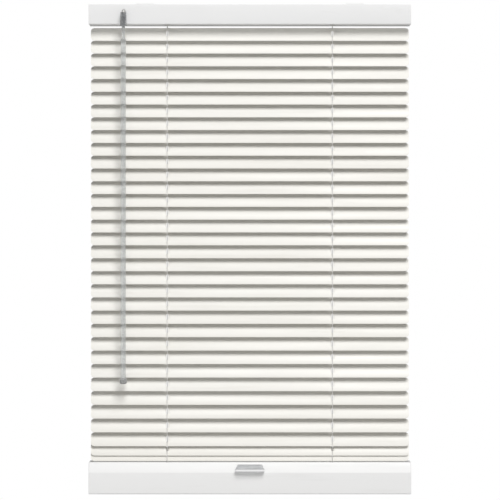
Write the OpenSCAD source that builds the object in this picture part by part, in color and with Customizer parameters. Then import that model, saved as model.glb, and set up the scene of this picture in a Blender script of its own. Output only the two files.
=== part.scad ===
// Venetian mini blind: headrail with worm tilter and spring lift, 34 crowned
// slats on ladder cords, tilt wand, and a bottom rail with a centre lift handle.
// Frame: +Z up, front = -Y, left = -X, origin at the centre of the ceiling
// face of the headrail. Slats rest closed, front edges down.

/* [Blind] */
// Overall width across the end caps
blind_w = 528; // [470:1:700]
// Distance of each ladder from the centre of the blind
ladder_x = 135.8; // [110:0.1:160]
// Rest angle of the slats, front edge down
rest_tilt = 60; // [40:1:62]

/* [Slats] */
// Chord width of a slat, front edge to back edge
slat_w = 25; // [22:0.5:25.5]
// Sheet thickness of a slat
slat_t = 0.4; // [0.25:0.05:0.5]
// Crown height of the curved section
slat_crown = 1.9; // [1:0.1:2.4]
// Ladder pitch over the upper half of the blind
pitch = 21.02; // [20:0.01:21.05]
// Growth of the pitch per slat over the lower half
pitch_growth = 0.11; // [0:0.01:0.11]
// Corner radius of a slat end
slat_corner_r = 6; // [2:0.5:9]

/* [Headrail] */
// Depth of the headrail, front to back
head_d = 38; // [38:0.5:44]
// Height of the headrail below the ceiling plane
head_h = 34.2; // [34:0.1:36]
// Gap between the ceiling plane and the channel lips
lip_drop = 1.5; // [1.3:0.1:1.8]
// Sheet thickness of the headrail
head_t = 0.8; // [0.5:0.1:1]
// Distance of each ceiling bracket from the centre
bracket_x = 172; // [165:1:185]
// Radius of the screw holes in the brackets
screw_r = 2.3; // [1.5:0.1:2.6]

/* [Tilt drive] */
// Height of the tilt rod axis
rod_z = -16; // [-16:0.1:-15.8]
// Across-flats size of the hexagonal tilt rod
rod_af = 6; // [5:0.1:6]
// Radius from the rod axis to the ladder cord pins
rocker_r = 14.5; // [14.4:0.05:14.6]
// Position of the tilter and the wand along the headrail
tilter_x = -206.8; // [-215:0.1:-200]
// Slope of the worm shaft below horizontal
worm_slope = 25; // [24.5:0.5:25.5]
// Teeth on the worm wheel
gear_teeth = 18; // [18:1:18]

/* [Wand] */
// Distance of the wand axis in front of the centre plane
wand_y = 27; // [26.5:0.1:28]
// Across-flats size of the wand
wand_af = 7.2; // [6:0.1:8]
// Length of the hexagonal part of the wand
wand_len = 555; // [300:5:600]

/* [Lift motor] */
// Spacing of the vertical spool axles, equal to the gear pitch diameter
spool_pitch = 28; // [28:1:28]
// Radius of the wound cord centre line
cord_wind_r = 8.6; // [8.2:0.1:9]

/* [Cords] */
// Diameter of the lift and ladder cords
cord_d = 1; // [0.8:0.1:1]

/* [Bottom rail] */
// Height of the top face of the bottom rail
rail_top_z = -752; // [-756:0.5:-752]
// Total height of the bottom rail
rail_h = 52; // [48:1:60]
// Half width of the flat top
rail_top_y = 16.5; // [16.5:0.1:18]
// Half depth of the vertical faces
rail_y = 22; // [21:0.5:25]
// Wall of the hollow bottom rail
rail_wall = 1.5; // [1:0.1:2]
// Width of the lift handle at its lip
handle_w = 47.6; // [30:0.1:80]

/* [Hidden] */
$fn = 48;
cap_t = 1.5;
body_len = blind_w - 2 * cap_t;
slat_len = blind_w - 5;
slat_R = (pow(slat_w / 2, 2) + pow(slat_crown, 2)) / (2 * slat_crown);
cord_r = cord_d / 2;
head_in = head_d / 2 - head_t;
floor_z = -head_h + head_t;
lip_z = -lip_drop - head_t;
pin_y = rocker_r * cos(rest_tilt);
pin_z = rocker_r * sin(rest_tilt);
cord_front_end = rod_z - pin_z - 750.6;
cord_back_end = rod_z + pin_z - 750.6;
worm_dist = 10.55;
worm_y = -worm_dist * sin(worm_slope);
worm_z = rod_z + worm_dist * cos(worm_slope);
worm_half = 3.8;
worm_lead = 2 * 3.14159265 * 7.65 / gear_teeth;
worm_phase = 270 - 360 * worm_half / worm_lead;
gear_phase = 180 + worm_slope + 180 / gear_teeth;
ball_len = (wand_y + worm_y) / cos(worm_slope);
ball_z = worm_z - (wand_y + worm_y) * tan(worm_slope);
cord_run_z = -26;
guide_pin_r = 1.5;
seg_half = 1;
ridge_z = rail_top_z - 16.6;
rail_bottom_z = rail_top_z - rail_h;
wand_top = -58.5;

function pitch_at(j) = j <= 15 ? pitch : j <= 31 ? pitch + pitch_growth * (j - 15) : j == 32 ? 15.5 : 8.9;
function slat_z(k) = k <= 1 ? -49.1 : slat_z(k - 1) - pitch_at(k - 1);
function two(k) = k < 10 ? str("0", k) : str(k);

// ---------- shared shapes ----------

// A straight cord between two points
module cord_line(a, b, r = cord_r) {
  v = b - a;
  h = norm(v);
  translate(a) rotate([0, acos(v[2] / h), atan2(v[1], v[0])]) cylinder(r = r, h = h);
}

// A closed ring of cord or wire lying in the local XY plane
module ring(major, minor) {
  rotate_extrude() translate([major, 0]) circle(r = minor, $fn = 32);
}

// A bar along X with a section drawn in (y, z)
module along_x(len, x0) {
  translate([x0, 0, 0]) rotate([90, 0, 90]) linear_extrude(len) children();
}

// Spur gear with straight-flanked teeth, one tooth centred on the angle ph
module spur(n, r, h, ph) {
  a = 360 / n;
  linear_extrude(h) polygon([for (i = [0:n - 1])
    for (q = [[-0.27, r - 1.1], [-0.115, r + 0.9], [0.115, r + 0.9], [0.27, r - 1.1]])
      [q[1] * cos(ph + (i + q[0]) * a), q[1] * sin(ph + (i + q[0]) * a)]]);
}

// ---------- slats ----------

// Plan outline of a slat with its two cord slots
module slat_outline() {
  r = slat_corner_r;
  difference() {
    union() {
      square([slat_len - 2 * r, slat_w], center = true);
      square([slat_len, slat_w - 2 * r], center = true);
      for (sx = [-1, 1], sy = [-1, 1])
        translate([sx * (slat_len / 2 - r), sy * (slat_w / 2 - r)]) circle(r = r);
    }
    for (sx = [-1, 1]) translate([sx * ladder_x, 0]) {
      square([3, 8], center = true);
      for (sy = [-1, 1]) translate([0, sy * 4]) circle(r = 1.5);
    }
  }
}

// One crowned slat, turned to its rest angle at its ladder rung
module slat(k) {
  color("ivory")
  translate([0, 0, slat_z(k)]) rotate([rest_tilt, 0, 0])
  intersection() {
    translate([0, 0, -4]) linear_extrude(8) slat_outline();
    translate([0, 0, slat_crown - slat_R]) rotate([0, 90, 0]) difference() {
      cylinder(r = slat_R + slat_t / 2, h = slat_len + 10, center = true);
      cylinder(r = slat_R - slat_t / 2, h = slat_len + 20, center = true);
    }
  }
}

// ---------- headrail ----------

// Roll-formed channel, open at the top, with cord and tilter openings
module headrail() {
  h = head_d / 2;
  color("whitesmoke")
  difference() {
    along_x(body_len, -body_len / 2) polygon([[-h, -head_h], [h, -head_h], [h, -lip_drop],
      [h - 4, -lip_drop], [h - 4, lip_z], [head_in, lip_z], [head_in, floor_z],
      [-head_in, floor_z], [-head_in, lip_z], [-h + 4, lip_z], [-h + 4, -lip_drop],
      [-h, -lip_drop]]);
    for (sx = [-1, 1]) translate([sx * ladder_x - 4, -15.75, -head_h - 1]) cube([8, 31.5, 3]);
    translate([tilter_x, -h + 2, worm_z - (h + worm_y) * tan(worm_slope)])
      rotate([90, 0, 0]) cylinder(r = 3.2, h = 6);
  }
}

// Two moulded caps that plug the channel ends
module headrail_end_caps() {
  color("white")
  for (s = [-1, 1]) scale([s, 1, 1]) {
    translate([body_len / 2, -head_d / 2, -head_h]) cube([cap_t, head_d, head_h - lip_drop]);
    difference() {
      translate([body_len / 2 - 5, -head_in + 0.2, floor_z + 0.2])
        cube([5, 2 * head_in - 0.4, head_h - head_t - lip_drop - 1.3]);
      translate([body_len / 2 - 6, -head_in + 1.6, floor_z + 1.6])
        cube([6, 2 * head_in - 3.2, head_h]);
    }
  }
}

// Two ceiling brackets that hook under the channel lips
module mounting_brackets() {
  color("silver")
  for (s = [-1, 1]) translate([s * bracket_x, 0, 0]) difference() {
    union() {
      translate([-14, -14.6, -lip_drop - 1]) cube([28, 29.2, lip_drop + 1]);
      translate([-10, -17.8, -lip_drop - 2.5]) cube([20, 35.6, 1.6]);
    }
    for (sy = [-1, 1]) translate([0, sy * 7, -5]) cylinder(r = screw_r, h = 7);
  }
}

// ---------- tilter ----------

// Frame that carries the worm wheel and the worm shaft
module tilter_housing() {
  color("gainsboro")
  difference() {
    union() {
      for (s = [-1, 1]) translate([tilter_x + s * 5.9 - 0.9, -17, floor_z])
        cube([1.8, 28, -3 - floor_z]);
      translate([tilter_x - 6.5, -17, floor_z]) cube([13, 28, 1.4]);
      translate([tilter_x - 6.5, -17, floor_z]) cube([13, 7.6, -4 - floor_z]);
    }
    translate([tilter_x - 10, 0, rod_z]) rotate([0, 90, 0]) cylinder(r = 5.05, h = 20);
    translate([tilter_x, worm_y, worm_z]) rotate([90 + worm_slope, 0, 0]) cylinder(r = 1.65, h = 30);
  }
}

// Worm on its sloping stem, ending in the ball that carries the wand
module tilter_worm() {
  color("white")
  translate([tilter_x, worm_y, worm_z]) rotate([90 + worm_slope, 0, 0]) {
    translate([0, 0, -worm_half]) rotate([0, 0, worm_phase]) linear_extrude(2 * worm_half, twist = -720 * worm_half / worm_lead, slices = 36)
      polygon([for (a = [0:18:342]) (2.6 + 0.5 * cos(a)) * [cos(a), sin(a)]]);
    translate([0, 0, worm_half - 0.2]) cylinder(r = 1.6, h = ball_len - worm_half + 0.2);
    translate([0, 0, 15.9]) cylinder(r = 2.3, h = 1.0);
    translate([0, 0, ball_len]) sphere(r = 2.4);
  }
}

// Worm wheel with a round hub and a hexagonal bore
module tilt_gear() {
  color("white")
  translate([tilter_x, 0, rod_z]) rotate([0, 90, 0]) difference() {
    union() {
      translate([0, 0, -1.2]) linear_extrude(2.4) polygon([for (a = [0:2.5:357.5])
        (7.65 + 0.45 * cos(gear_teeth * (a - gear_phase))) * [cos(a), sin(a)]]);
      translate([0, 0, -7.2]) cylinder(r = 5, h = 14.4);
    }
    translate([0, 0, -8]) cylinder(r = (rod_af + 0.1) / 2 / cos(30), h = 16, $fn = 6);
  }
}

// Hexagonal rod that turns both ladder rockers
module tilt_rod() {
  color("lightsteelblue")
  translate([tilter_x - 9, 0, rod_z]) rotate([0, 90, 0])
    cylinder(r = rod_af / 2 / cos(30), h = ladder_x + 13 - (tilter_x - 9), $fn = 6);
}

// Two rockers: hub, two cheeks and two cross pins for the ladder cords
module ladder_rockers() {
  color("white")
  for (s = [-1, 1]) translate([s * ladder_x, 0, rod_z]) difference() {
    union() {
      rotate([0, 90, 0]) cylinder(r = 5, h = 20, center = true);
      for (sx = [-1, 1]) translate([sx * 3, 0, 0]) rotate([rest_tilt, 0, 0]) {
        cube([1.2, 2 * rocker_r, 3.4], center = true);
        for (sy = [-1, 1]) translate([0, sy * rocker_r, 0]) rotate([0, 90, 0])
          cylinder(r = 1.7, h = 1.2, center = true);
      }
      rotate([rest_tilt, 0, 0]) for (sy = [-1, 1]) translate([0, sy * rocker_r, 0])
        rotate([0, 90, 0]) cylinder(r = 0.9, h = 7.2, center = true);
    }
    rotate([0, 90, 0]) cylinder(r = (rod_af + 0.1) / 2 / cos(30), h = 24, center = true, $fn = 6);
  }
}

// Two supports that carry the rocker hubs and lead the lift cord round a pin
module rod_cradles() {
  color("gainsboro")
  for (s = [-1, 1]) translate([s * ladder_x, 0, 0]) scale([s, 1, 1]) difference() {
    union() {
      translate([-12, -17.6, floor_z]) cube([24, 35.2, 1]);
      for (sx = [-1, 1]) translate([sx * 8.3 - 0.9, -8, floor_z]) cube([1.8, 16, -8.2 - floor_z]);
      for (sy = [-1, 1]) translate([-4, sy * 2.6 - 0.6, floor_z]) cube([3.6, 1.2, -26.6 - floor_z]);
      translate([-2.1, 0, cord_run_z - 2.1]) rotate([90, 0, 0])
        cylinder(r = guide_pin_r, h = 6.4, center = true);
    }
    translate([-14, 0, rod_z]) rotate([0, 90, 0]) cylinder(r = 5.05, h = 28);
    translate([-14, -2.6, -28.2]) cube([8, 5.2, 4.4]);
    for (sy = [-1, 1]) translate([-1.7, sy * 10.7 - 5.1, floor_z - 1]) cube([3.4, 10.2, 4]);
    translate([0, 0, floor_z - 1]) cylinder(r = 1.1, h = 3);
  }
}

// ---------- spring lift ----------

// Tray with three axle posts
module motor_case() {
  color("gainsboro")
  difference() {
    union() {
      translate([-46, -17.8, floor_z]) cube([92, 35.6, -31.2 - floor_z]);
      for (s = [-1, 1]) translate([-46, s * 17.1 - 0.7, floor_z]) cube([92, 1.4, 11]);
      for (i = [-1:1]) translate([i * spool_pitch, 0, floor_z]) cylinder(r = 2.5, h = -21.6 - floor_z);
    }
    for (i = [-1:1]) translate([i * spool_pitch, 0, floor_z + 2]) cylinder(r = 1.2, h = 12);
  }
}

// A cord spool with its gear; side is -1 left or 1 right
module spool(side) {
  color("white")
  translate([side * spool_pitch, 0, 0]) difference() {
    union() {
      translate([0, 0, -31]) spur(28, 14, 2.4, 360 / 56);
      translate([0, 0, -28.8]) cylinder(r = cord_wind_r - cord_r - 0.1, h = 6.4);
      translate([0, 0, -23.4]) cylinder(r = 11, h = 1);
    }
    translate([0, 0, -32]) cylinder(r = 2.55, h = 12);
  }
}

// Middle drum whose flat spring drives both spools through its gear
module spring_drum() {
  color("silver")
  difference() {
    union() {
      translate([0, 0, -31]) spur(28, 14, 2.4, 0);
      translate([0, 0, -28.8]) cylinder(r = 10.5, h = 6.4);
      translate([0, 0, -23.4]) cylinder(r = 12.5, h = 1);
    }
    translate([0, 0, -32]) cylinder(r = 2.55, h = 12);
  }
}

// Segment of both lift cords at one slat, which carries that slat as it rises
module lift_seg(k) {
  color("white")
  for (s = [-1, 1]) translate([s * ladder_x, 0, slat_z(k) - seg_half]) cylinder(r = cord_r, h = 2 * seg_half);
}

// Both lift cords: turns on the spool, run along the channel, round the pin and down
module lift_cords() {
  run = ladder_x - 2.1;
  beta = acos(cord_wind_r / (run - spool_pitch));
  tx = spool_pitch + cord_wind_r * cos(beta);
  ty = cord_wind_r * sin(beta);
  color("white")
  for (turn = [0, 180]) rotate([0, 0, turn]) {
    translate([spool_pitch, 0, cord_run_z]) rotate([0, 0, beta + 0.3])
      rotate_extrude(angle = 310) translate([cord_wind_r, 0]) circle(r = cord_r, $fn = 32);
    for (i = [-1, 1]) translate([spool_pitch, 0, cord_run_z + i * (cord_d + 0.1)]) ring(cord_wind_r, cord_r);
    cord_line([tx, ty, cord_run_z], [run - 0.6, ty * 0.6 / (run - tx), cord_run_z]);
    translate([run, 0, cord_run_z - 2.1]) rotate([90, 0, 0]) rotate([0, 0, 1])
      rotate_extrude(angle = 88) translate([2.1, 0]) circle(r = cord_r, $fn = 32);
    cord_line([ladder_x, 0, slat_z(30) + seg_half], [ladder_x, 0, cord_run_z - 2.1]);
    cord_line([ladder_x, 0, slat_z(31) + seg_half], [ladder_x, 0, slat_z(30) - seg_half]);
    cord_line([ladder_x, 0, slat_z(32) + seg_half], [ladder_x, 0, slat_z(31) - seg_half]);
    cord_line([ladder_x, 0, rail_top_z - 5], [ladder_x, 0, slat_z(32) - seg_half]);
    translate([ladder_x, 0, rail_top_z - 4.9]) sphere(r = 1.7);
  }
}

// Ladder cords of one face: an eye on the rocker pin and a straight fall
module ladder_cords(side, top, end) {
  color("white")
  for (s = [-1, 1]) translate([s * ladder_x, side * pin_y, 0]) {
    translate([0, 0, top]) rotate([0, 90, 0]) ring(1 + cord_r, cord_r);
    cord_line([0, 0, end], [0, 0, top - 1.3]);
  }
}
module ladder_cords_front() { ladder_cords(-1, rod_z - pin_z, cord_front_end); }
module ladder_cords_back() { ladder_cords(1, rod_z + pin_z, cord_back_end); }

// ---------- wand ----------

// Clear sleeve that hangs on the ball and holds the wand neck
module wand_coupler() {
  color("lightgrey", 0.6)
  translate([tilter_x, -wand_y, 0]) difference() {
    translate([0, 0, -38.2]) cylinder(r = 5, h = 22.6);
    translate([0, 0, ball_z]) sphere(r = 2.5);
    translate([-1.9, -1.9, ball_z - 1]) cube([3.8, 8, 9]);
    translate([0, 0, -39]) cylinder(r = 2.65, h = 16.5);
    translate([0, 0, -27.2]) cylinder(r = 3.7, h = 2.4);
  }
}

// Hexagonal wand with its round neck and retaining collar
module wand_rod() {
  color("gainsboro", 0.6)
  translate([tilter_x, -wand_y, 0]) {
    translate([0, 0, wand_top]) cylinder(r = 2.6, h = -23 - wand_top);
    translate([0, 0, -27]) cylinder(r = 3.6, h = 2);
    translate([0, 0, wand_top - wand_len]) cylinder(r = wand_af / 2 / cos(30), h = wand_len, $fn = 6);
  }
}

// Moulded knob at the bottom of the wand
module wand_tip() {
  color("lightgrey", 0.7)
  translate([tilter_x, -wand_y, wand_top - wand_len]) {
    translate([0, 0, -2.5]) cylinder(r1 = 5.95, r2 = 4.6, h = 2.5);
    translate([0, 0, -7.2]) cylinder(r = 5.95, h = 4.7);
    translate([0, 0, -9.5]) cylinder(r1 = 4.2, r2 = 5.95, h = 2.3);
  }
}

// ---------- bottom rail ----------

module rail_outline(d) {
  polygon([[-rail_top_y + d * 0.7, rail_top_z - d], [rail_top_y - d * 0.7, rail_top_z - d],
    [rail_y - d, ridge_z - d * 0.14], [rail_y - d, rail_bottom_z + d],
    [-rail_y + d, rail_bottom_z + d], [-rail_y + d, ridge_z - d * 0.14]]);
}

// Hollow extruded bottom rail with two cord openings in its top
module bottom_rail() {
  color("white")
  difference() {
    along_x(body_len, -body_len / 2) difference() {
      rail_outline(0);
      rail_outline(rail_wall);
    }
    for (s = [-1, 1]) translate([s * ladder_x - 4, -15.7, rail_top_z - 4]) cube([8, 31.4, 6]);
  }
}

// Two moulded caps that close the bottom rail
module rail_end_caps() {
  color("white")
  for (s = [-1, 1]) scale([s, 1, 1]) {
    along_x(cap_t, body_len / 2) rail_outline(0);
    along_x(5, body_len / 2 - 5) difference() {
      rail_outline(rail_wall + 0.15);
      rail_outline(rail_wall + 1.5);
    }
  }
}

// Finger lip on the front slope, hollowed by a cylinder along the rail
module lift_handle() {
  top = rail_top_z - 3.5;
  low = rail_top_z - 14.7;
  k = (rail_y - rail_top_y) / (rail_top_z - ridge_z);
  color("gainsboro", 0.8)
  intersection() {
    difference() {
      along_x(handle_w, -handle_w / 2) polygon([[-rail_top_y - k * 3.5, top], [-rail_top_y - k * 3.5 - 2, top],
        [-30.2, top - 6.4], [-31.4, top - 7.2], [-31.4, low + 1.2], [-30.2, low],
        [-rail_top_y - k * 14.7, low]]);
      translate([0, -32.4, top + 2.2]) rotate([0, 90, 0]) cylinder(r = 9.4, h = handle_w + 2, center = true, $fn = 96);
    }
    translate([0, -10, 0]) rotate([90, 0, 0]) linear_extrude(30) polygon([[-handle_w / 2 + 4, top + 1],
      [handle_w / 2 - 4, top + 1], [handle_w / 2, top - 6.8], [handle_w / 2, low - 1],
      [-handle_w / 2, low - 1], [-handle_w / 2, top - 6.8]]);
  }
}

// Two guides in the rail top: a slot for each ladder cord and a hole for the lift cord
module cord_grommets() {
  color("white")
  for (s = [-1, 1]) translate([s * ladder_x, 0, rail_top_z]) difference() {
    union() {
      translate([-3.9, -15.6, -1.6]) cube([7.8, 31.2, 1.6]);
      translate([-7, -5.2, -3]) cube([14, 10.4, 1.45]);
    }
    for (sy = [-1, 1]) translate([-1.3, sy * 10.6 - 4.7, -5]) cube([2.6, 9.4, 7]);
    translate([0, 0, -5]) cylinder(r = 0.95, h = 7);
  }
}

slat(1);  // slat_01
slat(2);  // slat_02
slat(3);  // slat_03
slat(4);  // slat_04
slat(5);  // slat_05
slat(6);  // slat_06
slat(7);  // slat_07
slat(8);  // slat_08
slat(9);  // slat_09
slat(10);  // slat_10
slat(11);  // slat_11
slat(12);  // slat_12
slat(13);  // slat_13
slat(14);  // slat_14
slat(15);  // slat_15
slat(16);  // slat_16
slat(17);  // slat_17
slat(18);  // slat_18
slat(19);  // slat_19
slat(20);  // slat_20
slat(21);  // slat_21
slat(22);  // slat_22
slat(23);  // slat_23
slat(24);  // slat_24
slat(25);  // slat_25
slat(26);  // slat_26
slat(27);  // slat_27
slat(28);  // slat_28
slat(29);  // slat_29
slat(30);  // slat_30
slat(31);  // slat_31
slat(32);  // slat_32
slat(33);  // slat_33
slat(34);  // slat_34
headrail();
headrail_end_caps();
mounting_brackets();
tilter_housing();
tilter_worm();
tilt_gear();
tilt_rod();
ladder_rockers();
rod_cradles();
motor_case();
spool(-1);  // spool_left
spool(1);  // spool_right
spring_drum();
lift_cords();
ladder_cords_front();
ladder_cords_back();
wand_coupler();
wand_rod();
wand_tip();
bottom_rail();
rail_end_caps();
lift_handle();
cord_grommets();
lift_seg(30);  // lift_cord_seg_30
lift_seg(31);  // lift_cord_seg_31
lift_seg(32);  // lift_cord_seg_32
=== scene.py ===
import math

import bmesh
import bpy
from mathutils import Matrix, Vector


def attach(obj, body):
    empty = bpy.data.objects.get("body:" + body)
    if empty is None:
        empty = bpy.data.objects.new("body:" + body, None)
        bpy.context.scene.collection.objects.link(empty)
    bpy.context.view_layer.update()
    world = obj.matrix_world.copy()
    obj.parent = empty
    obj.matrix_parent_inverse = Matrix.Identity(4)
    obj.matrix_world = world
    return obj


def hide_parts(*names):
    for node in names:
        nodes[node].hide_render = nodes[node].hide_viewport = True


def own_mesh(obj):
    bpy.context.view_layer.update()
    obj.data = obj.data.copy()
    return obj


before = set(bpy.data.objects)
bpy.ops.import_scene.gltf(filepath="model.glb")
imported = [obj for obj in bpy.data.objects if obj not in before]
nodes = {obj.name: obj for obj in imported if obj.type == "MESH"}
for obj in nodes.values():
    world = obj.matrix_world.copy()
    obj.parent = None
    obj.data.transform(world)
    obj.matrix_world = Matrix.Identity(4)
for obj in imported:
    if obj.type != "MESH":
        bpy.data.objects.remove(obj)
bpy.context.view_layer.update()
MM = 0.001

# ------------------------------------------------------------------ camera
cam_data = bpy.data.cameras.new("camera")
cam_data.lens = 160.0
cam_data.sensor_width = 36.0
cam_data.clip_end = 100.0
cam = bpy.data.objects.new("camera", cam_data)
cam.location = (0.0002, -3.658, -0.4041)
cam.rotation_euler = (math.radians(90), 0, 0)
bpy.context.scene.collection.objects.link(cam)
bpy.context.scene.camera = cam

# ------------------------------------------------------------------ sizes, mm, as in the CAD source
LADDER_X = 135.8
REST = math.radians(60)
ROD_Z = -16.0
ROCKER = 14.5
PIN_Y = ROCKER * math.cos(REST)
PIN_Z = ROCKER * math.sin(REST)
TILTER_X = -206.8
WAND_Y = -27.0
RAIL_TOP = -752.0


def pitch_at(j):
    return 21.02 if j <= 15 else 21.02 + 0.11 * (j - 15) if j <= 31 else 15.5 if j == 32 else 8.9


SLAT_Z = {1: -49.1}
for k in range(2, 35):
    SLAT_Z[k] = SLAT_Z[k - 1] - pitch_at(k - 1)


# ------------------------------------------------------------------ mesh helpers
def tidy(ob, angle=35.0):
    bm = bmesh.new()
    bm.from_mesh(ob.data)
    bmesh.ops.remove_doubles(bm, verts=bm.verts, dist=1e-6)
    bmesh.ops.recalc_face_normals(bm, faces=bm.faces)
    limit = math.radians(angle)
    for f in bm.faces:
        f.smooth = True
    for e in bm.edges:
        e.smooth = not (len(e.link_faces) == 2 and e.calc_face_angle(0.0) > limit)
    bm.to_mesh(ob.data)
    bm.free()


def make(name, verts, faces, mat, angle=35.0):
    me = bpy.data.meshes.new(name)
    me.from_pydata([tuple(c * MM for c in v) for v in verts], [], faces)
    ob = bpy.data.objects.new(name, me)
    bpy.context.scene.collection.objects.link(ob)
    tidy(ob, angle)
    me.materials.append(mat)
    return ob


def bake(ob, angle=35.0):
    """Applies the modifiers of a piece to its mesh."""
    bpy.context.view_layer.update()
    deps = bpy.context.evaluated_depsgraph_get()
    me = bpy.data.meshes.new_from_object(ob.evaluated_get(deps))
    mats = [m for m in ob.data.materials]
    ob.modifiers.clear()
    ob.data = me
    if not me.materials:
        for m in mats:
            me.materials.append(m)
    tidy(ob, angle)
    return ob


def bevel(ob, width, segments=3, angle=30.0):
    m = ob.modifiers.new("bevel", "BEVEL")
    m.width = width * MM
    m.segments = segments
    m.limit_method = "ANGLE"
    m.angle_limit = math.radians(angle)
    m.use_clamp_overlap = True
    return bake(ob)


def cut(ob, *cutters):
    for c in cutters:
        m = ob.modifiers.new("cut", "BOOLEAN")
        m.operation = "DIFFERENCE"
        m.solver = "EXACT"
        m.object = c
    bake(ob)
    for c in cutters:
        bpy.data.objects.remove(c)
    return ob


def join(obs, name):
    """One object from several, all at the origin."""
    bm = bmesh.new()
    mats = []
    for o in obs:
        off = []
        for m in o.data.materials:
            if m not in mats:
                mats.append(m)
            off.append(mats.index(m))
        n = len(bm.faces)
        bm.from_mesh(o.data)
        bm.faces.ensure_lookup_table()
        for f in bm.faces[n:]:
            f.material_index = off[f.material_index] if off else 0
    me = bpy.data.meshes.new(name)
    bm.to_mesh(me)
    bm.free()
    for m in mats:
        me.materials.append(m)
    ob = bpy.data.objects.new(name, me)
    bpy.context.scene.collection.objects.link(ob)
    for o in obs:
        bpy.data.objects.remove(o)
    return ob


def fillet(points, radii, seg=5):
    """Rounds each corner of a closed polygon with its own radius."""
    out = []
    n = len(points)
    for i in range(n):
        p = Vector(points[i])
        a = (Vector(points[i - 1]) - p)
        b = (Vector(points[(i + 1) % n]) - p)
        r = radii[i] if isinstance(radii, (list, tuple)) else radii
        if r <= 0:
            out.append(tuple(p))
            continue
        ang = a.angle(b)
        t = r / math.tan(ang / 2)
        t = min(t, 0.48 * a.length, 0.48 * b.length)
        r = t * math.tan(ang / 2)
        a.normalize()
        b.normalize()
        c = p + (a + b).normalized() * (r / math.sin(ang / 2))
        s, e = p + a * t - c, p + b * t - c
        turn = math.atan2(s.x * e.y - s.y * e.x, s.dot(e))
        for j in range(seg + 1):
            w = turn * j / seg
            q = Vector((s.x * math.cos(w) - s.y * math.sin(w), s.x * math.sin(w) + s.y * math.cos(w)))
            out.append(tuple(c + q))
    return out


def prism(name, section, xs, mat, angle=35.0, scales=None):
    """A bar along X through the stations xs, with a closed section in (y, z)."""
    n = len(section)
    verts, faces = [], []
    cy = sum(p[0] for p in section) / n
    cz = sum(p[1] for p in section) / n
    for i, x in enumerate(xs):
        s = scales[i] if scales else 0.0
        for y, z in section:
            d = math.hypot(y - cy, z - cz) or 1.0
            verts.append((x, y - (y - cy) / d * s, z - (z - cz) / d * s))
    for i in range(len(xs) - 1):
        for j in range(n):
            k = (j + 1) % n
            faces.append((i * n + j, i * n + k, (i + 1) * n + k, (i + 1) * n + j))
    faces.append(tuple(range(n)))
    faces.append(tuple((len(xs) - 1) * n + j for j in reversed(range(n))))
    return make(name, verts, faces, mat, angle)


def lathe(name, profile, mat, x=0.0, y=0.0, n=48, closed=False, angle=35.0):
    """Turns a profile of (radius, z) about a vertical axis."""
    verts, faces = [], []
    for r, z in profile:
        for j in range(n):
            w = 2 * math.pi * j / n
            verts.append((x + r * math.cos(w), y + r * math.sin(w), z))
    m = len(profile)
    for i in range(m if closed else m - 1):
        for j in range(n):
            k = (j + 1) % n
            a, b = i * n, ((i + 1) % m) * n
            faces.append((a + j, a + k, b + k, b + j))
    if not closed:
        faces.append(tuple(range(n)))
        faces.append(tuple((m - 1) * n + j for j in range(n)))
    return make(name, verts, faces, mat, angle)


def tube(name, pts, r, mat, n=10, lobes=0, depth=0.0, lay=4.0):
    """A round or stranded cord along a path; lobes and lay give the twist of its strands."""
    pts = [Vector(p) for p in pts]
    verts, faces = [], []
    up = Vector((0, 1, 0))
    run = 0.0
    for i, p in enumerate(pts):
        d = (pts[min(i + 1, len(pts) - 1)] - pts[max(i - 1, 0)]).normalized()
        if abs(d.dot(up)) > 0.95:
            up = Vector((1, 0, 0))
        side = d.cross(up).normalized()
        up = side.cross(d).normalized()
        if i:
            run += (p - pts[i - 1]).length
        for j in range(n):
            w = 2 * math.pi * j / n
            q = r - depth + depth * abs(math.cos(lobes * 0.5 * (w - 2 * math.pi * run / lay))) if lobes else r
            verts.append(tuple(p + (side * math.cos(w) + up * math.sin(w)) * q))
    m = len(pts)
    for i in range(m - 1):
        for j in range(n):
            k = (j + 1) % n
            faces.append((i * n + j, i * n + k, (i + 1) * n + k, (i + 1) * n + j))
    faces.append(tuple(range(n)))
    faces.append(tuple((m - 1) * n + j for j in reversed(range(n))))
    return make(name, verts, faces, mat, 80.0)


def block(name, lo, hi, mat):
    x0, y0, z0 = lo
    x1, y1, z1 = hi
    return prism(name, [(y0, z0), (y1, z0), (y1, z1), (y0, z1)], [x0, x1], mat)


# ------------------------------------------------------------------ materials
def new_material(name):
    m = bpy.data.materials.new(name)
    m.use_nodes = True
    nt = m.node_tree
    return m, nt, nt.nodes["Principled BSDF"]


def node(nt, kind, **values):
    n = nt.nodes.new(kind)
    for k, v in values.items():
        if k.startswith("in_"):
            n.inputs[k[3:].replace("_", " ")].default_value = v
        else:
            setattr(n, k, v)
    return n


def noise(nt, coords, scale, stretch=(1, 1, 1), detail=4.0, rough=0.5):
    mp = node(nt, "ShaderNodeMapping")
    mp.inputs["Scale"].default_value = stretch
    nt.links.new(coords, mp.inputs["Vector"])
    n = node(nt, "ShaderNodeTexNoise", in_Scale=scale, in_Detail=detail, in_Roughness=rough)
    nt.links.new(mp.outputs["Vector"], n.inputs["Vector"])
    return n.outputs["Fac"]


def spread(nt, value, lo, hi, a=0.35, b=0.65):
    r = node(nt, "ShaderNodeMapRange")
    r.inputs["From Min"].default_value = a
    r.inputs["From Max"].default_value = b
    r.inputs["To Min"].default_value = lo
    r.inputs["To Max"].default_value = hi
    nt.links.new(value, r.inputs["Value"])
    return r.outputs["Result"]


def blend_colors(nt, fac, a, b):
    mx = node(nt, "ShaderNodeMix", data_type="RGBA")
    nt.links.new(fac, mx.inputs["Factor"])
    for key, c in (("A", a), ("B", b)):
        sock = [s for s in mx.inputs if s.name == key and s.type == "RGBA"][0]
        if isinstance(c, tuple):
            sock.default_value = (*c, 1.0)
        else:
            nt.links.new(c, sock)
    return [s for s in mx.outputs if s.type == "RGBA"][0]


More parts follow.
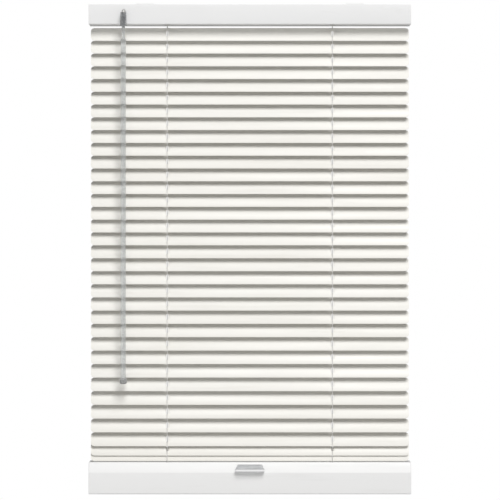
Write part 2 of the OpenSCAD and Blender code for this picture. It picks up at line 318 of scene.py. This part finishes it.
def bump(nt, p, layers):
    """Chains bumps: (height socket, distance in metres, strength)."""
    last = None
    for h, dist, strength in layers:
        b = node(nt, "ShaderNodeBump")
        b.inputs["Distance"].default_value = dist
        b.inputs["Strength"].default_value = strength
        nt.links.new(h, b.inputs["Height"])
        if last is not None:
            nt.links.new(last, b.inputs["Normal"])
        last = b.outputs["Normal"]
    nt.links.new(last, p.inputs["Normal"])


def solid_material(name, base, alt, rough, grain=900.0, stretch=(1, 1, 1), patch=14.0, rough_var=0.08,
                   grain_depth=0.00002, metallic=0.0, edge=True, scuff=None, subsurface=0.0, coat=0.0,
                   wave_depth=0.0):
    m, nt, p = new_material(name)
    co = node(nt, "ShaderNodeTexCoord").outputs["Object"]
    big = noise(nt, co, patch, stretch, 3.0)
    fine = noise(nt, co, grain, stretch, 3.0, 0.6)
    mid = noise(nt, co, patch * 9.0, stretch, 5.0, 0.6)
    col = blend_colors(nt, spread(nt, big, 0.0, 1.0), base, alt)
    if scuff:
        # faint dust and rub marks in scattered small patches
        col = blend_colors(nt, spread(nt, mid, 0.0, 0.5, 0.6, 0.78), col, scuff)
    nt.links.new(col, p.inputs["Base Color"])
    nt.links.new(spread(nt, mid, rough - rough_var, rough + rough_var), p.inputs["Roughness"])
    p.inputs["Metallic"].default_value = metallic
    p.inputs["IOR"].default_value = 1.5
    if subsurface:
        p.inputs["Subsurface Weight"].default_value = subsurface
        p.inputs["Subsurface Radius"].default_value = (0.004, 0.0035, 0.003)
        p.inputs["Subsurface Scale"].default_value = 0.5
    if coat:
        p.inputs["Coat Weight"].default_value = coat
        p.inputs["Coat Roughness"].default_value = 0.12
    layers = [(fine, grain_depth, 0.6)]
    if wave_depth:
        layers.append((big, wave_depth, 1.0))
    bump(nt, p, layers)
    return m


def clear_material(name, tint, rough, transmission=0.9, cloud=0.0):
    m, nt, p = new_material(name)
    co = node(nt, "ShaderNodeTexCoord").outputs["Object"]
    fine = noise(nt, co, 1400.0, (1, 1, 0.12), 3.0, 0.6)
    mid = noise(nt, co, 120.0, (1, 1, 0.3), 4.0, 0.6)
    col = blend_colors(nt, spread(nt, mid, 0.0, 1.0), tint, tuple(min(1.0, c * 1.04 + cloud) for c in tint))
    nt.links.new(col, p.inputs["Base Color"])
    nt.links.new(spread(nt, mid, rough * 0.7, rough * 1.4), p.inputs["Roughness"])
    p.inputs["Transmission Weight"].default_value = transmission
    p.inputs["IOR"].default_value = 1.49
    bump(nt, p, [(fine, 0.00001, 0.5)])
    return m


def cord_material(name, base, alt):
    m, nt, p = new_material(name)
    co = node(nt, "ShaderNodeTexCoord").outputs["Object"]
    mp = node(nt, "ShaderNodeMapping")
    mp.inputs["Rotation"].default_value = (0.0, math.radians(32), math.radians(28))
    nt.links.new(co, mp.inputs["Vector"])
    a = node(nt, "ShaderNodeTexWave", wave_type="BANDS", bands_direction="Z", in_Scale=620.0, in_Distortion=0.6)
    nt.links.new(mp.outputs["Vector"], a.inputs["Vector"])
    fibre = noise(nt, co, 3800.0, (1, 1, 0.3), 2.0, 0.6)
    # the darker colour follows the low bump between strands: painted shade in the grooves of the braid
    col = blend_colors(nt, a.outputs["Fac"], alt, base)
    nt.links.new(col, p.inputs["Base Color"])
    nt.links.new(spread(nt, fibre, 0.72, 0.92), p.inputs["Roughness"])
    p.inputs["Sheen Weight"].default_value = 0.35
    p.inputs["Sheen Roughness"].default_value = 0.5
    bump(nt, p, [(a.outputs["Fac"], 0.00012, 0.7), (fibre, 0.00004, 0.6)])
    return m


SLAT = solid_material("slat_vinyl", (0.875, 0.855, 0.80), (0.90, 0.885, 0.835), 0.42, grain=1500.0, stretch=(0.05, 1, 1),
                      patch=9.0, grain_depth=0.000012, scuff=(0.80, 0.775, 0.71))
HEADRAIL = solid_material("headrail_enamel", (0.92, 0.92, 0.918), (0.94, 0.94, 0.937), 0.36, grain=700.0,
                          stretch=(0.3, 1, 1), patch=7.0, grain_depth=0.00002, coat=0.15, scuff=(0.84, 0.84, 0.83))
RAIL = solid_material("rail_vinyl", (0.92, 0.918, 0.91), (0.94, 0.938, 0.93), 0.38, grain=1100.0, stretch=(0.08, 1, 1),
                      patch=8.0, grain_depth=0.000015, scuff=(0.84, 0.835, 0.82))
CAP = solid_material("cap_plastic", (0.92, 0.92, 0.915), (0.94, 0.94, 0.935), 0.45, grain=1600.0, patch=40.0,
                     grain_depth=0.00003, scuff=(0.83, 0.83, 0.82))
ACETAL = solid_material("mechanism_acetal", (0.78, 0.775, 0.75), (0.84, 0.835, 0.81), 0.4, grain=1800.0, patch=60.0,
                        grain_depth=0.00002, scuff=(0.66, 0.65, 0.62), subsurface=0.15)
ROD = solid_material("drawn_rod", (0.58, 0.59, 0.61), (0.66, 0.67, 0.68), 0.28, grain=2600.0, stretch=(0.02, 1, 1),
                     patch=60.0, grain_depth=0.00003, metallic=1.0, scuff=(0.50, 0.47, 0.42))
SPRING = solid_material("spring_steel", (0.46, 0.48, 0.52), (0.56, 0.57, 0.58), 0.3, grain=2400.0, stretch=(1, 1, 0.05),
                        patch=80.0, grain_depth=0.00003, metallic=1.0, scuff=(0.40, 0.36, 0.30))
# the second colour of each cord is the painted shade in the grooves between its strands
CORD = cord_material("cord_polyester", (0.88, 0.87, 0.84), (0.70, 0.69, 0.66))
THREAD = cord_material("rung_thread", (0.86, 0.85, 0.82), (0.68, 0.67, 0.64))
CLEAR = clear_material("clear_wand", (0.80, 0.82, 0.83), 0.16, 0.82)
SLEEVE = clear_material("clear_sleeve", (0.60, 0.61, 0.62), 0.12, 0.8)
ENAMEL = solid_material("bracket_enamel", (0.93, 0.93, 0.928), (0.95, 0.95, 0.948), 0.4, grain=1500.0, patch=60.0,
                        grain_depth=0.00002, coat=0.1, scuff=(0.84, 0.84, 0.83))
FROST = clear_material("frosted_handle", (0.72, 0.73, 0.74), 0.42, 0.35, 0.05)
# a whiter, glossier copy of the handle's plastic, used as a painted highlight on the lip's front faces
LIP_PAINTED_HIGHLIGHT = solid_material("lip_painted_highlight", (0.93, 0.93, 0.93), (0.95, 0.95, 0.95), 0.2, grain=1400.0, patch=40.0,
                     grain_depth=0.000008, rough_var=0.05, coat=0.4, scuff=(0.86, 0.86, 0.86))


def place(ob, body, slot_name, *replaced):
    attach(ob, body)
    if replaced:
        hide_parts(*replaced)
    return ob


def paint(name, mat):
    o = nodes[name]
    o.data.materials.clear()
    o.data.materials.append(mat)


# ------------------------------------------------------------------ slats
SLAT_W, SLAT_L, SLAT_T, CROWN, CORNER = 25.0, 523.0, 0.4, 1.9, 6.0
SLAT_R = ((SLAT_W / 2) ** 2 + CROWN ** 2) / (2 * CROWN)


def slat_mesh():
    """Crowned strip with rounded corners and two cord slots, in its own frame; the bevel applied to it afterwards
    rounds its edges.
    """
    half = SLAT_L / 2
    xs = [half - CORNER * (1 - math.sin(math.radians(a))) for a in range(0, 91, 9)]
    xs[-1] = half
    slot_xs = [LADDER_X + 1.5 * math.sin(math.radians(a)) for a in range(-90, 91, 18)]
    more = [20, 45, 70, 95, 118, 130, LADDER_X + 6, 160, 185, 210, 235]
    pos = sorted(set([round(x, 4) for x in xs + slot_xs + more]))
    stations = [-x for x in reversed(pos)] + [0.0] + pos
    rows = [-1.0, -0.96, -0.86, -0.72, -0.60, -0.50, -0.32, -0.16, 0.0, 0.16, 0.32, 0.50, 0.60, 0.72, 0.86, 0.96, 1.0]
    lip = [6, 10]

    def height(y):
        return CROWN - SLAT_R + math.sqrt(SLAT_R ** 2 - y * y)

    top, grid = [], {}
    for i, x in enumerate(stations):
        e = abs(x) - (half - CORNER)
        w = SLAT_W / 2 - (CORNER - math.sqrt(max(CORNER ** 2 - e * e, 0.0)) if e > 0 else 0.0)
        d = abs(x) - LADDER_X
        for j, r in enumerate(rows):
            y = r * w
            if j in lip and abs(d) <= 1.5001:
                y = math.copysign(4.0 + math.sqrt(max(1.5 ** 2 - d * d, 0.0)), r)
            grid[i, j] = len(top)
            top.append((x, y))
    quads = []
    for i in range(len(stations) - 1):
        mid = abs((stations[i] + stations[i + 1]) / 2)
        for j in range(len(rows) - 1):
            if abs(mid - LADDER_X) < 1.5 and 6 <= j < 10:
                continue
            quads.append((grid[i, j], grid[i + 1, j], grid[i + 1, j + 1], grid[i, j + 1]))
    n = len(top)
    verts = []
    for s in (1, -1):
        for x, y in top:
            z = height(y)
            ny, nz = y / SLAT_R, math.sqrt(1 - (y / SLAT_R) ** 2)
            verts.append((x, y + s * ny * SLAT_T / 2, z + s * nz * SLAT_T / 2))
    edges = {}
    for q in quads:
        for a, b in zip(q, q[1:] + q[:1]):
            edges[(a, b)] = edges.get((a, b), 0) + 1
    walls = [(a, b) for (a, b) in edges if (b, a) not in edges]
    faces = [q for q in quads] + [tuple(v + n for v in reversed(q)) for q in quads]
    faces += [(b, a, a + n, b + n) for a, b in walls]
    used = sorted({v for f in faces for v in f})
    remap = {v: i for i, v in enumerate(used)}
    return [verts[v] for v in used], [tuple(remap[v] for v in f) for f in faces]


sv, sf = slat_mesh()
master = make("slat_master", sv, sf, SLAT, 50.0)
master = bevel(master, 0.09, 2, 50.0)
master_mesh = master.data
bpy.data.objects.remove(master)


def rung_points(side_x):
    """One rung thread in the slat's frame: cord, under the slat, cord."""
    pts = []
    for i in range(25):
        y = -ROCKER + 2 * ROCKER * i / 24
        if abs(y) <= 12.7:
            yy = max(min(y, 12.5), -12.5)
            z = CROWN - SLAT_R + math.sqrt(SLAT_R ** 2 - yy * yy) - SLAT_T / 2 - 0.17
        else:
            t = (abs(y) - 12.7) / (ROCKER - 12.7)
            z = (1 - t) * (-SLAT_T / 2 - 0.17)
        spread_x = side_x * (1.0 - max(0.0, (abs(y) - 11.0) / 3.5) * 0.9)
        pts.append((spread_x, y, z))
    return pts


for k in range(1, 35):
    turn = Matrix.Translation((0, 0, SLAT_Z[k] * MM)) @ Matrix.Rotation(REST, 4, "X")
    me = master_mesh.copy()
    # each slat differs a little: a faint bow and twist within a tenth of a millimetre
    for v in me.vertices:
        u = v.co.x / (SLAT_L / 2 * MM)
        v.co.z += MM * 0.10 * (math.sin(k * 2.4) * (1 - u * u) * 0.6 + math.sin(k * 1.7 + 1.0) * u * 0.4)
    me.transform(turn)
    ob = bpy.data.objects.new(f"slat_{k:02d}_formed", me)
    bpy.context.scene.collection.objects.link(ob)
    place(ob, f"slat_{k:02d}_body", "slat", f"slat_{k:02d}")
    threads = []
    for s in (-1, 1):
        for side in (-1, 1):
            pts = [(s * LADDER_X + x, y, z) for x, y, z in rung_points(side * 2.1)]
            threads.append(tube("t", pts, 0.15, THREAD, 6))
    rungs = join(threads, f"rungs_{k:02d}")
    rungs.data.transform(turn)
    place(rungs, f"slat_{k:02d}_body", "cord")

# ------------------------------------------------------------------ ladder cords
for side, body, top, node_name in ((-1, "ladder_front", ROD_Z - PIN_Z, "ladder_cords_front"),
                                   (1, "ladder_back", ROD_Z + PIN_Z, "ladder_cords_back")):
    end = top - 750.6
    parts = []
    for s in (-1, 1):
        x, y = s * LADDER_X, side * PIN_Y
        eye = [(x, y + 1.5 * math.sin(a), top + 1.5 * math.cos(a)) for a in [math.pi - math.pi * 2 * i / 28 for i in range(29)]]
        parts.append(tube("eye", eye, 0.46, CORD, 10))
        steps = 620
        drop = [(x, y, top - 1.5 + (end - top + 1.5) * i / steps) for i in range(steps + 1)]
        parts.append(tube("drop", drop, 0.47, CORD, 9, 3, 0.11, 5.2))
        # the eye is served with a few turns of thread below the pin
        for j in range(5):
            parts.append(lathe("turn", [(0.42, top - 2.6 - j * 0.5), (0.6, top - 2.8 - j * 0.5), (0.42, top - 3.0 - j * 0.5)], THREAD, x, y, 14))
    lad = join(parts, node_name + "_braid")
    place(lad, body, "cord", node_name)
    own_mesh(lad)

# ------------------------------------------------------------------ lift cords
run = LADDER_X - 2.1
beta = math.acos(8.6 / (run - 28))
fixed, hanging = [], []
for s in (1, -1):
    def at(x, y, z):
        return (s * x, s * y, z)
    wound = []
    turns = 2
    for i in range(turns * 40 + 1):
        a = beta + 2 * math.pi * i / 40
        z = -26 + i / 40
        wound.append(at(28 + 8.6 * math.cos(a), 8.6 * math.sin(a), z))
    wound.reverse()
    tx, ty = 28 + 8.6 * math.cos(beta), 8.6 * math.sin(beta)
    straight = [at(tx + (run - tx) * i / 60, ty * (1 - i / 60), -26) for i in range(1, 60)]
    bend = [at(run + 2.1 * math.sin(a), 0, -28.1 + 2.1 * math.cos(a)) for a in [math.pi / 2 * i / 10 for i in range(11)]]
    fixed.append(tube("fixed", wound + straight + bend, 0.47, CORD, 9, 3, 0.10, 5.2))
    z0, z1 = -28.1, RAIL_TOP - 4.0
    steps = 560
    hanging.append(tube("hang", [at(LADDER_X, 0, z0 + (z1 - z0) * i / steps) for i in range(steps + 1)], 0.47, CORD, 9, 3, 0.11, 5.2))
place(join(fixed, "lift_cords_run"), "headrail_frame", "cord", "lift_cords")
drop = join(hanging, "lift_cords_drop")
place(drop, "headrail_frame", "cord", "lift_cord_seg_30", "lift_cord_seg_31", "lift_cord_seg_32")
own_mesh(drop)
knots = []
for s in (-1, 1):
    for i in range(2):
        c = Vector((s * LADDER_X, 0, RAIL_TOP - 4.4 - 0.9 * i))
        pts = [tuple(c + Vector((1.05 * math.cos(a), 1.05 * math.sin(a), 0.32 * math.sin(2 * a + i)))) for a in [2 * math.pi * j / 24 for j in range(25)]]
        knots.append(tube("knot", pts, 0.55, CORD, 8))
place(join(knots, "lift_cord_knots"), "rail", "cord")

# ------------------------------------------------------------------ headrail
HB = 261.0 + 1.5
h, hh, t = 19.0, 34.2, 0.8
channel = fillet([(-h, -hh), (h, -hh), (h, -1.5), (h - 4, -1.5), (h - 4, -1.5 - t), (h - t, -1.5 - t), (h - t, -hh + t),
                  (-h + t, -hh + t), (-h + t, -1.5 - t), (-h + 4, -1.5 - t), (-h + 4, -1.5), (-h, -1.5)],
                 [1.3, 1.3, 1.2, 0.25, 0.25, 0.5, 0.6, 0.6, 0.5, 0.25, 0.25, 1.2], 4)
head = prism("headrail_channel", channel, [-HB, HB], HEADRAIL, 30.0)
stem_z = -16 + 10.55 * math.cos(math.radians(25)) - (19 - 10.55 * math.sin(math.radians(25))) * math.tan(math.radians(25))
hole = lathe("hole", [(3.2, -6), (3.2, 6)], HEADRAIL, 0, 0, 40)
hole.data.transform(Matrix.Translation((TILTER_X * MM, -0.019, stem_z * MM)) @ Matrix.Rotation(math.radians(90), 4, "X"))
cutters = [hole]
for s in (-1, 1):
    sec = fillet([(-15.75, -36), (15.75, -36), (15.75, -30), (-15.75, -30)], 0, 1)
    cutters.append(prism("floor_cut", sec, [s * LADDER_X - 4, s * LADDER_X + 4], HEADRAIL))
cut(head, *cutters)
tidy(head, 30.0)
place(head, "headrail_frame", "headrail", "headrail")

caps = []
for s in (-1, 1):
    plate = fillet([(-h, -hh), (h, -hh), (h, -1.5), (-h, -1.5)], 1.3, 4)
    x0, x1 = s * HB, s * (HB + 1.5)
    caps.append(prism("plate", plate, [x0, x0 + s * 1.1, x0 + s * 1.36, x1], CAP, 40.0, [0, 0, 0.15, 0.45]))
    plug = prism("plug", fillet([(-h + 1, -hh + 1), (h - 1, -hh + 1), (h - 1, -2.6), (-h + 1, -2.6)], 1.0, 3), [s * (HB - 5), s * (HB + 0.05)], CAP)
    bore = prism("bore", fillet([(-h + 2.4, -hh + 2.4), (h - 2.4, -hh + 2.4), (h - 2.4, 1), (-h + 2.4, 1)], 0.6, 3), [s * (HB - 6), s * (HB - 0.4)], CAP)
    cut(plug, bore)
    caps.append(plug)
place(join(caps, "headrail_caps_moulded"), "headrail_frame", "white_plastic", "headrail_end_caps")

# ------------------------------------------------------------------ wand
bz = -6.438 - (27 - 4.459) * math.tan(math.radians(25))
sleeve = lathe("sleeve", [(2.65, -38.2), (4.6, -38.2), (4.9, -37.9), (5.0, -37.5), (5.0, -15.9), (4.8, -15.65), (4.6, -15.6), (3.0, -15.6),
                          (2.7, -15.75), (2.5, -16.0), (2.5, -19.6), (1.2, -20.4), (0.02, -20.5), (0.02, -22.4), (2.65, -22.5), (2.65, -24.8), (3.7, -24.8), (3.7, -27.2), (2.65, -27.2)],
               SLEEVE, TILTER_X, WAND_Y, 56, closed=True)
slit = prism("slit", [(WAND_Y - 1.9, bz - 1.0), (WAND_Y + 6.5, bz - 1.0), (WAND_Y + 6.5, -8), (WAND_Y - 1.9, -8)], [TILTER_X - 1.9, TILTER_X + 1.9], SLEEVE)
cut(sleeve, slit)
place(sleeve, "wand_hanger", "clear_plastic", "wand_coupler")


def hex_ring(af, z, r=0.7, seg=3):
    c = af / 2 / math.cos(math.pi / 6)
    pts = [(c * math.cos(math.pi / 3 * i), c * math.sin(math.pi / 3 * i)) for i in range(6)]
    return [(x, y, z) for x, y in fillet(pts, r, seg)]


n = len(hex_ring(7.2, 0))
rings = []
for r, z in ((0.01, -22.95), (2.3, -23.0), (2.6, -23.3), (2.6, -24.9), (3.3, -25.0), (3.6, -25.2), (3.6, -26.8), (3.3, -27.0), (2.6, -27.1), (2.6, -57.2), (2.75, -57.9)):
    rings.append([(r * math.cos(2 * math.pi * i / n + 0.10), r * math.sin(2 * math.pi * i / n + 0.10), z) for i in range(n)])
# the round neck opens into the hexagon through a short shoulder, and the ends of the hexagon are eased
hexes = [(6.2, -58.7, 0.8), (6.9, -59.3, 0.7), (7.2, -60.2, 0.55), (7.2, -250, 0.55), (7.2, -430, 0.55), (7.2, -613.3, 0.55), (6.8, -613.5, 0.55), (0.02, -613.5, 0.0)]
for af, z, r in hexes:
    rings.append(hex_ring(af, z, r) if af > 0.1 else [(0.01 * math.cos(2 * math.pi * i / n), 0.01 * math.sin(2 * math.pi * i / n), z) for i in range(n)])
verts = [(TILTER_X + x, WAND_Y + y, z) for ring in rings for x, y, z in ring]
faces = []
for i in range(len(rings) - 1):
    for j in range(n):
        k = (j + 1) % n
        faces.append((i * n + j, i * n + k, (i + 1) * n + k, (i + 1) * n + j))
faces += [tuple(range(n)), tuple((len(rings) - 1) * n + j for j in range(n))]
place(make("wand_stick", verts, faces, CLEAR, 28.0), "wand", "clear_plastic", "wand_rod")

knob = [(0.02, -613.55), (4.5, -613.6), (5.0, -614.0), (5.55, -615.2), (5.85, -616.0), (5.95, -617.0)]
for i in range(3):
    z = -617.6 - i * 0.9
    knob += [(5.95, z), (5.7, z - 0.2), (5.7, z - 0.5), (5.95, z - 0.7)]
knob += [(5.9, -620.8), (5.6, -621.6), (5.0, -622.4), (4.2, -622.85), (3.2, -623.0), (1.6, -622.8), (0.02, -622.7)]
place(lathe("wand_knob", knob, SLEEVE, TILTER_X, WAND_Y, 56, angle=50.0), "wand", "clear_plastic", "wand_tip")

# ------------------------------------------------------------------ bottom rail
RIDGE, BOTTOM, TOPY, RY = RAIL_TOP - 16.6, RAIL_TOP - 52.0, 16.5, 22.0


def rail_section(d, radii, seg=5):
    return fillet([(-TOPY + d * 0.7, RAIL_TOP - d), (TOPY - d * 0.7, RAIL_TOP - d), (RY - d, RIDGE - d * 0.14), (RY - d, BOTTOM + d),
                   (-RY + d, BOTTOM + d), (-RY + d, RIDGE - d * 0.14)], radii, seg)


outer = prism("bottom_rail_extrusion", rail_section(0, [1.6, 1.6, 2.0, 2.2, 2.2, 2.0]), [-HB, HB], RAIL, 30.0)
inner = prism("hollow", rail_section(1.5, [0.6, 0.6, 0.8, 0.9, 0.9, 0.8], 3), [-HB - 1, HB + 1], RAIL)
cutters = [inner]
for s in (-1, 1):
    cutters.append(prism("top_cut", [(-15.7, RAIL_TOP - 4), (15.7, RAIL_TOP - 4), (15.7, RAIL_TOP + 2), (-15.7, RAIL_TOP + 2)],
                         [s * LADDER_X - 4, s * LADDER_X + 4], RAIL))
cut(outer, *cutters)
tidy(outer, 28.0)
place(outer, "rail", "rail", "bottom_rail")
caps = []
for s in (-1, 1):
    x0, x1 = s * HB, s * (HB + 1.5)
    caps.append(prism("cap", rail_section(0, [1.6, 1.6, 2.0, 2.2, 2.2, 2.0]), [x0, x0 + s * 0.9, x0 + s * 1.3, x1], CAP, 40.0, [0, 0, 0.2, 0.65]))
    caps.append(prism("cap_plug", rail_section(1.66, [0.6, 0.6, 0.8, 0.9, 0.9, 0.8], 3), [s * (HB - 5), s * (HB + 0.05)], CAP))
place(join(caps, "rail_caps_moulded"), "rail", "white_plastic", "rail_end_caps")

# lift handle: a hollowed lip that grows out of the front slope, narrower at its top
slope = (RY - TOPY) / 16.6
top, low = RAIL_TOP - 3.5, RAIL_TOP - 14.7
y0 = -TOPY - slope * 3.5
prof = [(y0, top), (y0 - 1.7, top), (y0 - 2.1, top - 0.15)]
cy, cz, cr = -32.4, top + 2.2, 9.4
for i in range(17):
    a = math.radians(-33.6 - (83.2 - 33.6) * i / 16)
    prof.append((cy + cr * math.cos(a), cz + cr * math.sin(a)))
prof += [(-31.4, top - 7.4), (-31.4, low + 1.2), (-31.1, low + 0.9), (-30.3, low + 0.1), (-30.1, low), (-TOPY - slope * 14.7, low)]
front = min(p[0] for p in prof)
nsec = len(prof)
stations = []
for i in range(41):
    u = -1 + 2 * i / 40
    stations.append(u)
verts, faces = [], []
for u in stations:
    ease = 1.0 - 0.0 * abs(u)
    for y, z in prof:
        w = min(1.0, max(0.0, (top - z) / 6.8))
        half = 23.8 - 4.0 * (1 - w)
        # the lip is pulled back a little at both ends so that its front line is softly bowed
        pull = 1.6 * max(0.0, (abs(u) - 0.72) / 0.28) ** 2
        base_y = -TOPY - slope * (RAIL_TOP - z)
        yy = y + pull * (base_y - y) / max(1.0, base_y - front)
        verts.append((half * u, yy * ease, z))
for i in range(len(stations) - 1):
    for j in range(nsec):
        k = (j + 1) % nsec
        faces.append((i * nsec + j, i * nsec + k, (i + 1) * nsec + k, (i + 1) * nsec + j))
faces += [tuple(range(nsec)), tuple((len(stations) - 1) * nsec + j for j in range(nsec))]
handle = make("lift_handle_lip", verts, faces, FROST, 40.0)
handle = bevel(handle, 0.35, 2, 50.0)
# the front faces of the lip get a whiter, glossier copy of the handle's plastic: a painted highlight where the light
# falls on the lip; the scoop above it keeps the frosted grain
handle.data.materials.append(LIP_PAINTED_HIGHLIGHT)
for f in handle.data.polygons:
    if f.center.z < (top - 6.9) * MM and f.normal.y < -0.5:
        f.material_index = 1
place(handle, "rail", "frosted_plastic", "lift_handle")

# ------------------------------------------------------------------ CAD pieces that stay as they are
paint("cord_grommets", CAP)
paint("mounting_brackets", ENAMEL)
paint("tilt_rod", ROD)
paint("spring_drum", SPRING)
for name in ("tilter_housing", "tilter_worm", "tilt_gear", "ladder_rockers", "rod_cradles", "motor_case", "spool_left", "spool_right"):
    paint(name, ACETAL)

# ------------------------------------------------------------------ stage and light
floor_mat, nt, p = new_material("floor_pale")
co = node(nt, "ShaderNodeTexCoord").outputs["Object"]
nt.links.new(blend_colors(nt, noise(nt, co, 1.5), (0.80, 0.80, 0.80), (0.84, 0.84, 0.84)), p.inputs["Base Color"])
p.inputs["Roughness"].default_value = 0.85
floor = make("floor", [(-5000, -5000, -1300), (5000, -5000, -1300), (5000, 2500, -1300), (-5000, 2500, -1300)], [(0, 1, 2, 3)], floor_mat)

world = bpy.data.worlds.new("world")
bpy.context.scene.world = world
world.use_nodes = True
wt = world.node_tree
bg = wt.nodes["Background"]
bg.inputs["Color"].default_value = (1.0, 1.0, 1.0, 1.0)
bg.inputs["Strength"].default_value = 0.16
seen = wt.nodes.new("ShaderNodeBackground")
seen.inputs["Color"].default_value = (1.0, 1.0, 1.0, 1.0)
seen.inputs["Strength"].default_value = 1.0
lp = wt.nodes.new("ShaderNodeLightPath")
mixer = wt.nodes.new("ShaderNodeMixShader")
wt.links.new(lp.outputs["Is Camera Ray"], mixer.inputs["Fac"])
wt.links.new(bg.outputs["Background"], mixer.inputs[1])
wt.links.new(seen.outputs["Background"], mixer.inputs[2])
wt.links.new(mixer.outputs["Shader"], wt.nodes["World Output"].inputs["Surface"])


def area(name, loc, target, size, power):
    d = bpy.data.lights.new(name, "AREA")
    d.shape = "RECTANGLE"
    d.size, d.size_y = size
    d.energy = power
    o = bpy.data.objects.new(name, d)
    o.location = loc
    o.rotation_euler = (Vector(target) - Vector(loc)).to_track_quat("-Z", "Y").to_euler()
    bpy.context.scene.collection.objects.link(o)
    return o


area("key", (2.5, -9.25, 9.6), (0, 0, -0.40), (6.5, 8.0), 1480.0)
area("fill", (-1.6, -4.6, -1.0), (0, 0, -0.60), (2.0, 1.6), 24.0)

scene = bpy.context.scene
scene.view_settings.view_transform = "Standard"
scene.view_settings.look = "None"
scene.view_settings.exposure = 0.0
scene.view_settings.gamma = 1.0
